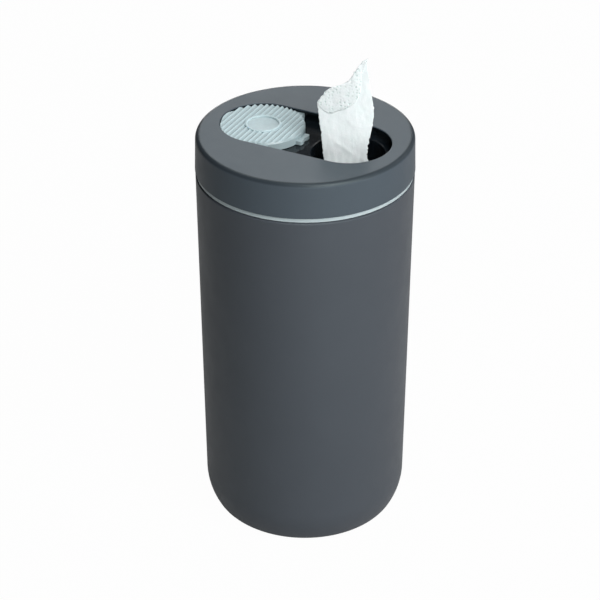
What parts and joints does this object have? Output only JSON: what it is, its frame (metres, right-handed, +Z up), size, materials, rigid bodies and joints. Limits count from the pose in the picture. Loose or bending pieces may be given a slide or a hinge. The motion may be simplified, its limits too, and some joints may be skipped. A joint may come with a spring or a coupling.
{
  "type": "tissue dispenser",
  "caption": "Round tabletop dispenser for wet tissues: a rounded can with a lift-out liner, and a lid with a slot in which a ribbed cap slides to cover the outlet.",
  "frame": {"origin": "middle of the foot, on the surface that it stands on", "axes": "+Z up along the can's axis, +X along the lid's slot from the parked cap to the outlet"},
  "size_m": [0.1124, 0.1124, 0.2676],
  "materials": {
    "shell_plastic": "fine matte, soft-touch anthracite",
    "pad_rubber": "matte non-slip",
    "liner_plastic": "translucent, satin",
    "cap_plastic": "translucent, satin",
    "deck_plastic": "gloss black",
    "seal_rubber": "soft grey",
    "gripper_rubber": "soft black",
    "screw_steel": "bright zinc",
    "tissue": "soft nonwoven, embossed"
  },
  "bodies": {
    "shell": {"outer_shell": "shell_plastic", "base_pad": "pad_rubber"},
    "liner": {"inner_liner": "liner_plastic", "wipes_roll": "tissue", "wipe_tail": "tissue"},
    "lid": {"lid_shell": "shell_plastic", "lid_seal": "seal_rubber", "lid_deck": "deck_plastic", "deck_screws": "screw_steel", "wipe_gripper": "gripper_rubber", "gripper_retainer": "deck_plastic", "wipe_sheet": "tissue"},
    "cap": {"slide_cap": "cap_plastic", "cap_seal": "seal_rubber"}
  },
  "joints": [
    {"name": "liner_lift", "type": "slide", "parent": "shell", "child": "liner", "axis": [0, 0, 1], "range_m": [0, 0.2]},
    {"name": "lid_lift", "type": "slide", "parent": "liner", "child": "lid", "axis": [0, 0, 1], "range_m": [0, 0.04], "deforming": ["wipe_tail"]},
    {"name": "cap_slide", "type": "slide", "parent": "lid", "child": "cap", "axis": [1, 0, 0], "range_m": [0, 0.048], "deforming": ["wipe_sheet"]}
  ]
}
